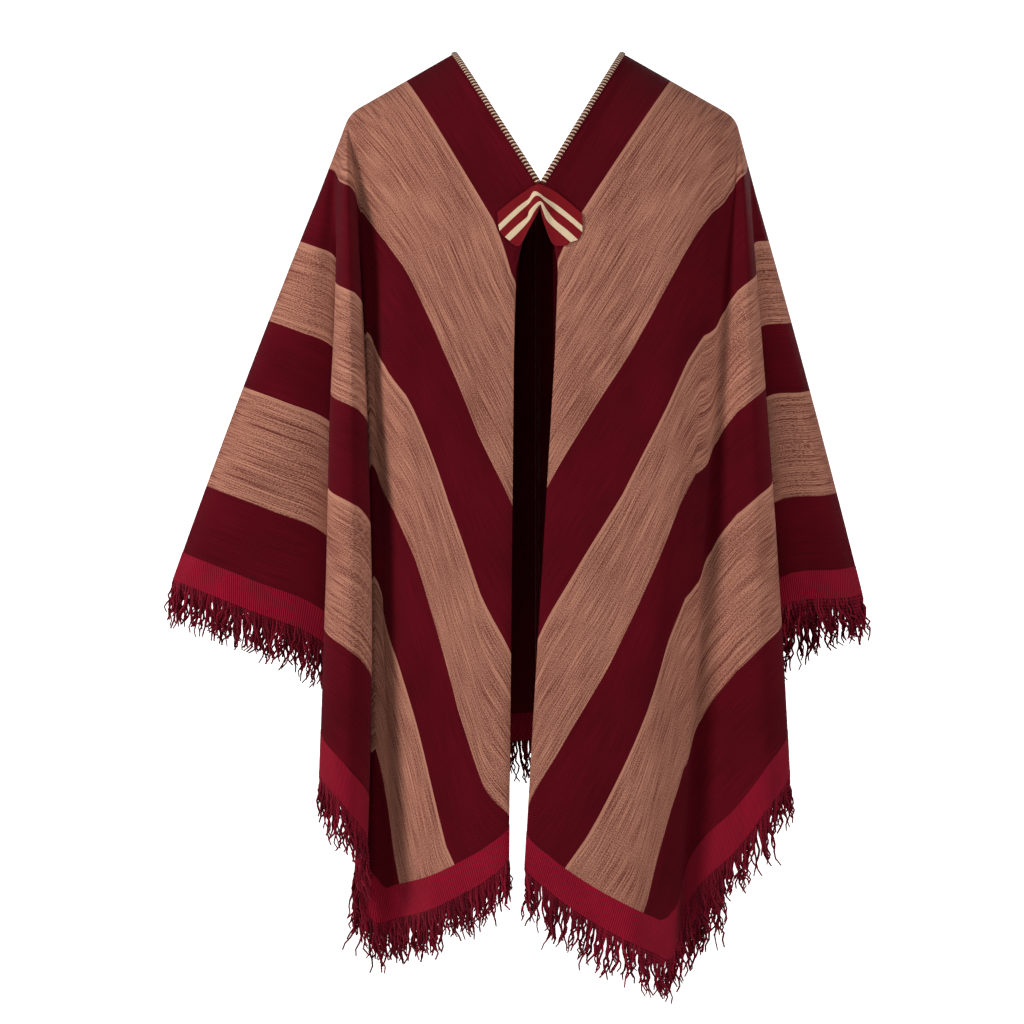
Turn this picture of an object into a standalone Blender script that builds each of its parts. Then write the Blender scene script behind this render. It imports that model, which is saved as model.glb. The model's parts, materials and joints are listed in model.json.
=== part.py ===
"""A worn wool poncho: two woven panels, ribbed borders, fringe and a ribbon tab.

Metres, +Z up, the front faces -Y. The origin is midway between the two points
where the neck edges meet the shoulder line, which is where a wearer holds it.
Each panel is a sheet that hangs in straight folds from the shoulder line, and a
table row gives one fold. Between the rows a smooth curve carries the cloth.
"""
import random

import bpy
import numpy as np
from mathutils import Vector
from mathutils.bvhtree import BVHTree

HALF_LENGTH = 0.790         # flat length from the shoulder line to a hem
CLOTH = 0.0020              # thickness of the woven wool
BORDER_WIDTH = 0.031
BORDER_THICKNESS = 0.0026
SEAM_GAP = 0.0003           # between pieces that are sewn together
HALF_SEAM_GAP = SEAM_GAP / 2
SEAM_TOP = -0.12            # the back halves lie side by side below this height
FRINGE_LENGTH = 0.044
FRINGE_STRIP = 0.005        # height of the strip that carries the yarn ends
FRINGE_THICKNESS = 0.0032
FRINGE_DROOP = 0.6          # how strongly the locks turn to hang straight down
LOCKS_PER_SIDE = 96
LOCK_SHARE = 0.62           # of each repeat along the strip
LOCK_SHORTEST = 0.72        # of the fringe's length
LOCK_TIP = 0.28             # half of a tip's width, of the width at its root
LOCK_LEAN = 0.35            # the most that a tip strays, of the width at its root
TAB_WIDTH = 0.036
TAB_THICKNESS = 0.0016
TAB_CLEARANCE = 0.0008
TAB_PUCKER = 0.006          # how far its middle stands forward
TAB_CUTS = 3
TAB_BANDS = 4
RIDGE_RUN = 0.090           # stretch of the sleeve ridge that the folds start on
SHOULDER_ROUND = 0.012
NECK_SHARE = 0.192          # of a fold's length that lies beside the neck edge
CHEST_SHARE = 0.72          # of a fold's depth that the shoulder gives at once
CHEST_REACH = 0.22          # share of the length over which it does so
TUCK_EASE = 0.08            # a tuck starts softly sideways
DEPTH_EASE = 0.65           # and sooner in depth
LEAST_SQUARE = 0.25         # keeps a seam gap short where the folds run along it
TWIST_GAP = 0.0007          # extra gap at an edge that turns right round
SIDE_FROM = 0.93            # share of the width past which a fold ends on the side
SIDE_BLEND = 0.06

# The tab's middle line on the front, left end to right end, as (x, z)
TAB_LINE = ((-0.0395, -0.1925), (-0.0200, -0.1790), (-0.0030, -0.1690),
            (0.0140, -0.1800), (0.0365, -0.1975))

# How far a fold is drawn towards the middle, from the shoulder to the hem
FRONT_DRAW = ((0.0, 0.0), (NECK_SHARE, 1.0), (0.27, 0.74), (1.0, 0.0))
BACK_DRAW = ((0.0, 0.0), (NECK_SHARE, 1.0), (1.0, 0.0))

# Where each fold starts: 0 at the neck, 1 at the shoulder's corner, 2 past it
STARTS = (0.0, 0.06, 0.12, 0.30, 0.49, 0.68, 0.83, 0.93, 1.0,
          1.08, 1.15, 1.25, 1.38, 1.52, 1.68, 1.84, 2.0)
CUTS = (2, 2, 2, 1, 2, 3, 3, 2, 2, 2, 2, 3, 2, 2, 1, 1)
ROWS = (0.0, 0.018, 0.06, 0.12, NECK_SHARE, 0.225, 0.27, 0.38, 0.50, 0.63, 0.76, 0.88)

FIELDS = ("out", "drop", "depth", "tuck_out", "tuck_depth", "tuck_from",
          "across", "draw", "bow")

HEM_FIELDS = ("out", "drop", "depth", "tuck_out", "tuck_depth", "bow")

# Rows run from the open edge or seam to the sleeve's ridge. out, drop and depth
# place the hem of a fold, tuck_out and tuck_depth move it where cloth is tucked
# away, across is its place on the flat cloth, draw and bow are pulls sideways.
LEFT_FRONT = {
    "neck_edge":     (0.068, 0.765, 0.145, 0.000, -0.108, 0.192, 0.000, 0.0887, 0.000),
    "flap_turn":     (0.050, 0.775, 0.145, 0.118, -0.096, 0.192, 0.181, 0.0840, 0.000),
    "opening":       (0.035, 0.884, 0.145, 0.000, 0.000, 0.192, 0.403, 0.0800, 0.000),
    "front_crown":   (0.060, 0.910, 0.148, 0.000, 0.000, 0.100, 0.429, 0.0520, 0.000),
    "front_flat":    (0.081, 0.923, 0.145, 0.000, 0.000, 0.100, 0.457, 0.0300, 0.000),
    "front_bend":    (0.117, 0.941, 0.138, 0.000, -0.004, 0.100, 0.512, 0.0120, 0.000),
    "front_valley":  (0.157, 0.953, 0.118, 0.000, -0.034, 0.100, 0.598, 0.0000, 0.000),
    "corner":        (0.182, 0.957, 0.112, 0.000, -0.020, 0.100, 0.685, 0.0000, -0.008),
    "column_under":  (0.190, 0.905, 0.112, 0.013, -0.030, 0.100, 0.685, 0.0000, -0.010),
    "column_inner":  (0.190, 0.866, 0.118, 0.000, 0.000, 0.100, 0.685, 0.0000, -0.012),
    "column_crown":  (0.214, 0.829, 0.142, 0.000, 0.000, 0.100, 0.685, 0.0000, -0.006),
    "column_outer":  (0.241, 0.789, 0.110, 0.000, 0.000, 0.100, 0.685, 0.0000, 0.000),
    "pleat":         (0.241, 0.716, 0.060, -0.051, -0.046, 0.100, 0.685, 0.0000, 0.000),
    "sleeve_inner":  (0.243, 0.648, 0.040, 0.000, 0.000, 0.100, 0.685, 0.0000, 0.000),
    "sleeve_middle": (0.319, 0.616, 0.040, 0.000, 0.000, 0.100, 0.685, 0.0000, 0.000),
    "sleeve_turn":   (0.388, 0.589, 0.022, 0.000, 0.000, 0.100, 0.685, 0.0000, 0.002),
    "ridge":         (0.405, 0.582, 0.000, 0.000, 0.000, 0.100, 0.685, 0.0000, 0.003),
}
RIGHT_FRONT = {
    "neck_edge":     (0.015, 0.765, 0.145, 0.000, -0.108, 0.192, 0.000, 0.0747, 0.000),
    "flap_turn":     (0.022, 0.775, 0.145, 0.125, -0.096, 0.192, 0.186, 0.0766, 0.000),
    "opening":       (-0.016, 0.892, 0.145, 0.000, 0.000, 0.192, 0.412, 0.0681, 0.000),
    "front_crown":   (0.010, 0.922, 0.148, 0.000, 0.000, 0.100, 0.457, 0.0450, 0.000),
    "front_flat":    (0.055, 0.954, 0.146, 0.000, 0.000, 0.100, 0.514, 0.0260, 0.000),
    "front_valley":  (0.099, 0.978, 0.145, 0.000, 0.000, 0.100, 0.571, 0.0120, 0.000),
    "front_fall":    (0.124, 0.990, 0.136, 0.000, -0.012, 0.100, 0.632, 0.0000, 0.000),
    "corner":        (0.142, 0.997, 0.128, 0.000, -0.022, 0.100, 0.690, 0.0000, 0.000),
    "side_valley":   (0.158, 0.945, 0.120, 0.000, -0.028, 0.100, 0.690, 0.0000, 0.000),
    "side_rise":     (0.178, 0.914, 0.114, 0.000, -0.014, 0.100, 0.690, 0.0000, 0.000),
    "side_crown":    (0.214, 0.879, 0.120, 0.000, 0.000, 0.100, 0.690, 0.0000, 0.000),
    "column_crown":  (0.250, 0.830, 0.124, 0.000, 0.000, 0.100, 0.690, 0.0000, 0.002),
    "column_outer":  (0.273, 0.789, 0.094, 0.000, 0.000, 0.100, 0.690, 0.0000, 0.004),
    "pleat":         (0.268, 0.716, 0.060, -0.054, -0.046, 0.100, 0.690, 0.0000, 0.002),
    "sleeve_inner":  (0.267, 0.612, 0.038, 0.000, 0.000, 0.100, 0.690, 0.0000, 0.000),
    "sleeve_turn":   (0.338, 0.602, 0.024, 0.000, 0.000, 0.100, 0.690, 0.0000, 0.000),
    "ridge":         (0.356, 0.598, 0.000, 0.000, 0.000, 0.100, 0.690, 0.0000, 0.002),
}
LEFT_BACK = {
    "seam":          (0.000, 0.760, 0.135, 0.000, -0.094, 0.192, 0.000, 0.0755, 0.000),
    "pleat_turn":    (0.030, 0.775, 0.135, 0.110, -0.080, 0.192, 0.181, 0.0788, 0.000),
    "pleat_edge":    (0.026, 0.880, 0.135, 0.000, 0.000, 0.192, 0.403, 0.0760, 0.000),
    "back_crown":    (0.052, 0.905, 0.142, 0.000, 0.000, 0.100, 0.430, 0.0520, 0.000),
    "back_flat":     (0.080, 0.925, 0.138, 0.000, 0.000, 0.100, 0.462, 0.0300, 0.000),
    "back_valley":   (0.110, 0.940, 0.130, 0.000, -0.026, 0.100, 0.522, 0.0120, 0.000),
    "back_ridge":    (0.142, 0.952, 0.124, 0.000, 0.010, 0.100, 0.585, 0.0000, 0.000),
    "corner":        (0.172, 0.958, 0.110, 0.000, -0.020, 0.100, 0.685, 0.0000, 0.000),
    "column_under":  (0.186, 0.900, 0.112, 0.014, -0.030, 0.100, 0.685, 0.0000, -0.006),
    "column_inner":  (0.186, 0.862, 0.118, 0.000, 0.000, 0.100, 0.685, 0.0000, -0.008),
    "column_crown":  (0.212, 0.825, 0.140, 0.000, 0.000, 0.100, 0.685, 0.0000, -0.004),
    "column_outer":  (0.240, 0.785, 0.110, 0.000, 0.000, 0.100, 0.685, 0.0000, 0.000),
    "pleat":         (0.242, 0.712, 0.060, -0.050, -0.046, 0.100, 0.685, 0.0000, 0.000),
    "sleeve_inner":  (0.247, 0.648, 0.040, 0.000, 0.000, 0.100, 0.685, 0.0000, 0.000),
    "sleeve_middle": (0.321, 0.616, 0.040, 0.000, 0.000, 0.100, 0.685, 0.0000, 0.000),
    "sleeve_turn":   (0.388, 0.589, 0.022, 0.000, 0.000, 0.100, 0.685, 0.0000, 0.002),
    "ridge":         (0.405, 0.582, 0.000, 0.000, 0.000, 0.100, 0.685, 0.0000, 0.003),
}
RIGHT_BACK = {
    "seam":          (0.000, 0.760, 0.135, 0.000, -0.094, 0.192, 0.000, 0.0729, 0.000),
    "pleat_turn":    (0.030, 0.775, 0.135, 0.106, -0.080, 0.192, 0.181, 0.0765, 0.000),
    "pleat_edge":    (0.030, 0.884, 0.135, 0.000, 0.000, 0.192, 0.403, 0.0741, 0.000),
    "back_crown":    (0.058, 0.908, 0.144, 0.000, 0.000, 0.100, 0.432, 0.0500, 0.000),
    "back_flat":     (0.088, 0.928, 0.136, 0.000, 0.000, 0.100, 0.466, 0.0280, 0.000),
    "back_valley":   (0.118, 0.944, 0.128, 0.000, -0.024, 0.100, 0.526, 0.0120, 0.000),
    "back_ridge":    (0.146, 0.958, 0.126, 0.000, 0.008, 0.100, 0.590, 0.0000, 0.000),
    "corner":        (0.172, 0.964, 0.110, 0.000, -0.020, 0.100, 0.690, 0.0000, 0.000),
    "column_under":  (0.190, 0.908, 0.114, 0.012, -0.030, 0.100, 0.690, 0.0000, 0.000),
    "column_inner":  (0.190, 0.868, 0.120, 0.000, 0.000, 0.100, 0.690, 0.0000, -0.004),
    "column_crown":  (0.216, 0.832, 0.142, 0.000, 0.000, 0.100, 0.690, 0.0000, 0.000),
    "column_outer":  (0.246, 0.790, 0.112, 0.000, 0.000, 0.100, 0.690, 0.0000, 0.002),
    "pleat":         (0.250, 0.720, 0.060, -0.050, -0.046, 0.100, 0.690, 0.0000, 0.000),
    "sleeve_inner":  (0.256, 0.650, 0.040, 0.000, 0.000, 0.100, 0.690, 0.0000, 0.000),
    "sleeve_middle": (0.302, 0.624, 0.038, 0.000, 0.000, 0.100, 0.690, 0.0000, 0.000),
    "sleeve_turn":   (0.342, 0.604, 0.022, 0.000, 0.000, 0.100, 0.690, 0.0000, 0.000),
    "ridge":         (0.356, 0.598, 0.000, 0.000, 0.000, 0.100, 0.690, 0.0000, 0.002),
}

HALVES = {
    "left": {"side": -1, "neck": (0.0935, 0.0), "corner": (0.2095, -0.0668),
             "front": LEFT_FRONT, "back": LEFT_BACK},
    "right": {"side": 1, "neck": (0.0902, 0.0), "corner": (0.2156, -0.0715),
              "front": RIGHT_FRONT, "back": RIGHT_BACK},
}

COLOURS = {
    "cloth": (0.10, 0.006, 0.014),
    "border": (0.24, 0.006, 0.022),
    "fringe": (0.12, 0.008, 0.016),
    "tab": (0.30, 0.010, 0.020),
}


def clear_scene():
    """Remove whatever the scene holds."""
    for thing in list(bpy.data.objects):
        bpy.data.objects.remove(thing, do_unlink=True)


def make_material(name, colour, roughness):
    """A plain cloth material."""
    material = bpy.data.materials.new(name)
    material.use_nodes = True
    shader = material.node_tree.nodes["Principled BSDF"]
    shader.inputs["Base Color"].default_value = (*colour, 1.0)
    shader.inputs["Roughness"].default_value = roughness
    shader.inputs["Metallic"].default_value = 0.0
    return material


def fold_spacing(table):
    """Root of the distance between neighbouring folds at the hem."""
    fold = dict(zip(FIELDS, table.T))
    hem = np.stack((fold["out"] + fold["tuck_out"], fold["drop"],
                    fold["depth"] + fold["tuck_depth"]), axis=1)
    return np.sqrt(np.linalg.norm(np.diff(hem, axis=0), axis=1))


def smooth(table, place):
    """A row of the table at a fractional place, on a centripetal curve.

    Only what places the hem is curved. The rest runs straight between rows.
    """
    last = len(table) - 1
    gaps = fold_spacing(table)
    index = min(int(place), last - 1)
    part = place - index
    start, end = table[index], table[index + 1]
    gap = gaps[index]
    leave = arrive = end - start
    if index > 0:
        back = gaps[index - 1]
        before = table[index - 1]
        leave = ((start - before) / back - (end - before) / (back + gap)
                 + (end - start) / gap) * gap
    if index + 1 < last:
        ahead = gaps[index + 1]
        after = table[index + 2]
        arrive = ((end - start) / gap - (after - start) / (gap + ahead)
                  + (after - end) / ahead) * gap
    square, cube = part ** 2, part ** 3
    curved = ((2 * cube - 3 * square + 1) * start + (cube - 2 * square + part) * leave
              + (3 * square - 2 * cube) * end + (cube - square) * arrive)
    straight = start + (end - start) * part
    is_hem = np.array([name in HEM_FIELDS for name in FIELDS])
    return np.where(is_hem, curved, straight)


def unit(vectors):
    """Vectors scaled to a length of one."""
    return vectors / np.linalg.norm(vectors, axis=1)[:, None]


def outward(points, down):
    """Ways that leave an edge squarely, and how far to go for one unit of gap.

    Each stretch of the edge has its own way in the sheet, square to it, and a
    corner takes the mean of its two stretches.
    """
    stretch = unit(np.diff(points, axis=0))
    fall = down[:-1] + down[1:]
    square = unit(fall - stretch * np.sum(fall * stretch, axis=1)[:, None])
    before = np.vstack((square[:1], square))
    after = np.vstack((square, square[-1:]))
    return unit(before + after), before, after


def reach(ways, before, after):
    """Distance along each way that clears both stretches by one unit."""
    clear = np.minimum(np.sum(ways * before, axis=1), np.sum(ways * after, axis=1))
    return 1 / np.maximum(clear, LEAST_SQUARE)


def along_line(points, share):
    """Read a short line of (share, value) points."""
    return np.interp(share, [p[0] for p in points], [p[1] for p in points])


def shoulder_point(half, start):
    """The place (out, height) on the shoulder line, or past it on the ridge."""
    neck = np.array(half["neck"])
    corner = np.array(half["corner"])
    ridge = half["front"]["ridge"]
    hem = np.array((ridge[0], -ridge[1]))
    run = np.linalg.norm(corner - neck)
    inward = (corner - neck) / run
    onward = (hem - corner) / np.linalg.norm(hem - corner)
    distance = (start - 1) * run if start < 1 else (start - 1) * RIDGE_RUN
    if abs(distance) >= SHOULDER_ROUND:
        return corner + (inward if distance < 0 else onward) * distance
    part = (distance + SHOULDER_ROUND) / (2 * SHOULDER_ROUND)
    first = corner - inward * SHOULDER_ROUND
    last = corner + onward * SHOULDER_ROUND
    return (1 - part) ** 2 * first + 2 * part * (1 - part) * corner + part ** 2 * last


def fold_places():
    """Fractional table rows at which the sheet has a line of points."""
    places = []
    for index, cuts in enumerate(CUTS):
        places += [index + step / cuts for step in range(cuts)]
    return places + [float(len(CUTS))]


def fold_line(half, face, place, shares):
    """Points of one line of the sheet, from the shoulder line to the hem."""
    table = np.array(list(half[face].values()))
    fold = dict(zip(FIELDS, smooth(table, place)))
    start = np.interp(place, range(len(STARTS)), STARTS)
    top_out, top_height = shoulder_point(half, start)
    draw_line = FRONT_DRAW if face == "front" else BACK_DRAW
    points = []
    for share in shares:
        rise = np.sqrt(1 - (1 - min(share / CHEST_REACH, 1)) ** 2)
        form = CHEST_SHARE * rise + (1 - CHEST_SHARE) * share
        late = max(0.0, (share - fold["tuck_from"]) / (1 - fold["tuck_from"]))
        tuck = late ** 2 / (late + TUCK_EASE) * (1 + TUCK_EASE)
        out = top_out + (fold["out"] - top_out) * share
        out -= fold["draw"] * along_line(draw_line, share)
        out += fold["tuck_out"] * tuck + fold["bow"] * 4 * share * (1 - share)
        depth = fold["depth"] * form + fold["tuck_depth"] * late ** DEPTH_EASE
        height = top_height - (fold["drop"] + top_height) * share
        if place < 1 and share >= NECK_SHARE:
            out = max(out, HALF_SEAM_GAP)
        facing = -1 if face == "front" else 1
        points.append((half["side"] * out, facing * depth, height))
    return points


def border_share(half, face, place):
    """Share of a fold's length at which the border starts."""
    table = np.array(list(half[face].values()))
    across = smooth(table, place)[FIELDS.index("across")]
    width = half["front"]["ridge"][FIELDS.index("across")]
    start = np.interp(place, range(len(STARTS)), STARTS)
    run = np.linalg.norm(np.array(half["corner"]) - half["neck"])
    top = start * run if start < 1 else run + (start - 1) * RIDGE_RUN
    on_side = np.clip((across / width - SIDE_FROM) / SIDE_BLEND, 0, 1)
    length = HALF_LENGTH + on_side * (width - top - HALF_LENGTH)
    return 1 - BORDER_WIDTH / length


class Sheet:
    """One panel's middle surface, front and back in one, with its border."""

    def __init__(self, half):
        self.half = half
        self.places = fold_places()
        self.points = []
        self.index = {}
        self.rows = len(ROWS) + 3
        for face in ("front", "back"):
            for column, place in enumerate(self.places):
                self.add_line(face, column, place)
        self.points = np.array(self.points)
        self.faces = self.make_faces(range(self.rows - 1))
        self.normals = self.find_normals()
        self.open_seam()
        self.normals = self.find_normals()

    def add_line(self, face, column, place):
        """Add one fold line's points, sharing those on the shoulder and ridge."""
        edge = border_share(self.half, face, place)
        shares = list(ROWS) + [edge, edge + SEAM_GAP, 1.0]
        line = fold_line(self.half, face, place, shares)
        is_ridge = column == len(self.places) - 1
        for row, point in enumerate(line):
            shared = face == "back" and (row == 0 or is_ridge)
            if shared:
                self.index[face, column, row] = self.index["front", column, row]
            else:
                self.index[face, column, row] = len(self.points)
                self.points.append(point)

    def rim(self, row):
        """The points of a row from the front edge round to the back seam."""
        order = [("front", c) for c in range(len(self.places))]
        order += [("back", c) for c in reversed(range(len(self.places) - 1))]
        return [self.index[face, c, row] for face, c in order]

    def open_seam(self):
        """Part the border from the cloth, square to the seam between them."""
        cloth, border, hem = (self.rim(self.rows - back) for back in (3, 2, 1))
        down = unit(self.points[hem] - self.points[cloth])
        _, before, after = outward(self.points[cloth], down)
        step = SEAM_GAP * reach(down, before, after) + self.twist_gap(border)
        self.points[border] = self.points[cloth] + down * step[:, None]

    def twist_gap(self, edge):
        """More room where an edge's wall turns sharply round a fold."""
        turn = np.linalg.norm(np.diff(self.normals[edge], axis=0), axis=1)
        return TWIST_GAP * np.maximum(np.append(turn, 0), np.insert(turn, 0, 0))

    def make_faces(self, rows):
        """Faces of some rows, which point away from the hollow."""
        faces = []
        for face in ("front", "back"):
            flip = (face == "front") == (self.half["side"] > 0)
            for column in range(len(self.places) - 1):
                for row in rows:
                    corners = [self.index[face, column, row],
                               self.index[face, column + 1, row],
                               self.index[face, column + 1, row + 1],
                               self.index[face, column, row + 1]]
                    faces.append(tuple(reversed(corners)) if flip else tuple(corners))
        return faces

    def find_normals(self):
        """Normals of the whole sheet, level across the centre-back seam."""
        normals = np.zeros_like(self.points)
        for face in self.faces:
            a, b, c, d = (self.points[i] for i in face)
            facing = np.cross(c - a, d - b)
            for corner in face:
                normals[corner] += facing / np.linalg.norm(facing)
        for row in range(self.rows):
            if row == 0 or self.points[self.index["back", 0, row]][2] < SEAM_TOP:
                normals[self.index["back", 0, row]][0] = 0.0
        return unit(normals)

    def hem_line(self):
        """Points of the hem, with their normals, outward ways, gaps and fold ways."""
        hem = self.rim(self.rows - 1)
        down = unit(self.points[hem] - self.points[self.rim(self.rows - 2)])
        away, before, after = outward(self.points[hem], down)
        away[-1][0] = 0.0
        gap = SEAM_GAP * reach(away, before, after)
        gap += self.twist_gap(self.rim(self.rows - 1))
        return self.points[hem], self.normals[hem], unit(away), gap, down


def make_object(name, points, faces, material):
    """A mesh object, its faces pointing out."""
    mesh = bpy.data.meshes.new(name)
    mesh.from_pydata([tuple(map(float, p)) for p in points], [], faces)
    mesh.materials.append(material)
    mesh.validate()
    mesh.shade_smooth()
    mesh.set_sharp_from_angle(angle=np.radians(50))
    thing = bpy.data.objects.new(name, mesh)
    bpy.context.scene.collection.objects.link(thing)
    return thing


def split(face, points):
    """Two triangles for a four-sided face, along its shorter diagonal."""
    a, b, c, d = face
    if np.linalg.norm(points[a] - points[c]) <= np.linalg.norm(points[b] - points[d]):
        return [(a, b, c), (a, c, d)]
    return [(a, b, d), (b, c, d)]


def thicken(points, normals, faces, thickness):
    """Give a sheet its thickness: an outer skin, an inner skin and a rim.

    Every rim is cut the same way round, so that two rims on a seam stay parallel.
    """
    used = sorted({corner for face in faces for corner in face})
    place = {old: new for new, old in enumerate(used)}
    count = len(used)
    half = thickness / 2
    outer = points[used] + normals[used] * half
    inner = points[used] - normals[used] * half
    skin = [tuple(place[c] for c in triangle)
            for face in faces for triangle in split(face, points)]
    edges = {(a, b) for face in skin for a, b in zip(face, face[1:] + face[:1])}
    solid = skin + [tuple(c + count for c in reversed(face)) for face in skin]
    for a, b in sorted(edges):
        if (b, a) in edges:
            continue
        if a < b:
            solid += [(b, a, b + count), (a, a + count, b + count)]
        else:
            solid += [(b, a, a + count), (b, a + count, b + count)]
    return np.vstack((outer, inner)), solid


def make_panel(name, sheet, material):
    """The woven cloth of one half, down to the border."""
    faces = sheet.make_faces(range(sheet.rows - 3))
    points, solid = thicken(sheet.points, sheet.normals, faces, CLOTH)
    return make_object(name, points, solid, material)


def make_border(name, sheet, material):
    """The ribbed band that binds the hems and the side edge."""
    faces = sheet.make_faces([sheet.rows - 2])
    points, solid = thicken(sheet.points, sheet.normals, faces, BORDER_THICKNESS)
    return make_object(name, points, solid, material)


def resample(values, distance, stations):
    """Read rows of vectors at even distances along a line."""
    return np.stack([np.interp(stations, distance, values[:, axis])
                     for axis in range(3)], axis=1)


def make_fringe(name, sheet, material, seed):
    """A narrow strip under the border, with tapered locks fused to it."""
    chance = random.Random(seed)
    line, normal, away, gap, down = sheet.hem_line()
    steps = np.linalg.norm(np.diff(line, axis=0), axis=1)
    pitch = steps.sum() / LOCKS_PER_SIDE
    margin = (1 - LOCK_SHARE) / 2
    stations, locks = [0.0], set()
    for segment, length in enumerate(steps):
        repeats = int(length / pitch + 0.5)
        for lock in range(repeats):
            locks.add(len(stations))
            stations += [segment + (lock + margin) / repeats,
                         segment + (lock + 1 - margin) / repeats]
        stations.append(segment + 1.0)
    order = np.arange(len(line), dtype=float)
    line = resample(line, order, stations)
    normal = resample(normal, order, stations)
    away = resample(away, order, stations)
    fall = unit(resample(down, order, stations) - np.array((0.0, 0.0, FRINGE_DROOP)))
    gap = np.interp(stations, order, gap)[:, None]
    half = FRINGE_THICKNESS / 2
    count = len(stations)
    top = line + away * gap
    front = line + away * FRINGE_STRIP + normal * half
    rear = line + away * FRINGE_STRIP - normal * half
    points = list(top) + list(front) + list(rear)
    faces = []
    for k in range(count - 1):
        is_lock = k in locks
        a, b = k, k + 1
        fa, fb, ra, rb = count + a, count + b, 2 * count + a, 2 * count + b
        faces += [(a, b, fb, fa), (b, a, ra, rb)]
        if not is_lock:
            faces.append((fa, fb, rb, ra))
            continue
        length = FRINGE_LENGTH * chance.uniform(LOCK_SHORTEST, 1.0)
        middle = (line[a] + line[b]) / 2 + (away[a] + away[b]) / 2 * FRINGE_STRIP
        way = fall[a] + fall[b]
        tip = middle + way / np.linalg.norm(way) * length
        side = (line[b] - line[a]) * LOCK_TIP
        lean = (line[b] - line[a]) * chance.uniform(-LOCK_LEAN, LOCK_LEAN)
        ta = len(points)
        ends = np.array((tip - side + lean, tip + side + lean))
        inside = sheet.half["side"] * ends[:, 0] < HALF_SEAM_GAP
        if middle[1] > 0:
            ends[inside, 0] = sheet.half["side"] * HALF_SEAM_GAP
        points += list(ends)
        tb = ta + 1
        faces += [(fa, fb, tb, ta), (rb, ra, ta, tb), (ra, fa, ta), (fb, rb, tb)]
    last = count - 1
    solid = [(0, count, 2 * count), (last, 2 * count + last, count + last)]
    for face in faces:
        solid += split(face, points) if len(face) == 4 else [face]
    if sheet.half["side"] > 0:
        solid = [tuple(reversed(face)) for face in solid]
    return make_object(name, points, solid, material)


def make_tab(name, sheets, material):
    """A flat ribbon in a chevron that lies on both fronts and spans the gap."""
    trees = []
    for sheet in sheets:
        faces = sheet.make_faces(range(sheet.rows - 3))
        points, solid = thicken(sheet.points, sheet.normals, faces, CLOTH)
        trees.append(BVHTree.FromPolygons([tuple(p) for p in points], solid))
    knots = np.array(TAB_LINE)
    order = np.arange(len(knots))
    places = np.linspace(0, order[-1], TAB_CUTS * order[-1] + 1)
    heights = TAB_WIDTH * np.linspace(0.5, -0.5, TAB_BANDS + 1)
    flat = [(np.interp(place, order, knots[:, 0]),
             np.interp(place, order, knots[:, 1]) + height)
            for place in places for height in heights]
    forward = Vector((0, 1, 0))
    hits = [tree.ray_cast(Vector((x, -1.0, z)), forward)[0] for tree in trees for x, z in flat]
    cloth = min(hit.y for hit in hits if hit is not None)
    lie = cloth - TAB_CLEARANCE - TAB_THICKNESS / 2
    bands = TAB_BANDS + 1
    rises = TAB_PUCKER * np.maximum(0.0, 1 - abs(places - order[-1] / 2))
    points = np.array([(x, lie - rise, z)
                       for (x, z), rise in zip(flat, np.repeat(rises, bands))])
    faces = []
    for column in range(len(places) - 1):
        for band in range(TAB_BANDS):
            a = column * bands + band
            faces.append((a, a + 1, a + bands + 1, a + bands))
    normals = np.tile(np.array((0.0, -1.0, 0.0)), (len(points), 1))
    points, solid = thicken(points, normals, faces, TAB_THICKNESS)
    return make_object(name, points, solid, material)


def main():
    clear_scene()
    cloth = make_material("cloth", COLOURS["cloth"], 0.9)
    border = make_material("border", COLOURS["border"], 0.7)
    fringe = make_material("fringe", COLOURS["fringe"], 0.95)
    tab = make_material("tab", COLOURS["tab"], 0.7)
    sheets = []
    for seed, (name, half) in enumerate(HALVES.items()):
        sheet = Sheet(half)
        sheets.append(sheet)
        make_panel(f"{name}_panel", sheet, cloth)
        make_border(f"{name}_border", sheet, border)
        make_fringe(f"{name}_fringe", sheet, fringe, seed)
    make_tab("closure_tab", sheets, tab)


main()
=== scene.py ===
"""Looks of a worn wool poncho: striped wool cloth, ribbed borders, yarn fringe.

Metres, +Z up, the front faces -Y. The origin is midway between the two points
where the neck edges meet the shoulder line. Each panel is the same sheet as the
solid it stands for, on a finer mesh: a table row gives one fold of the cloth.
"""
import json
import math
import random

import bpy
import numpy as np
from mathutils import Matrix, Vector
from mathutils.bvhtree import BVHTree

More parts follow.
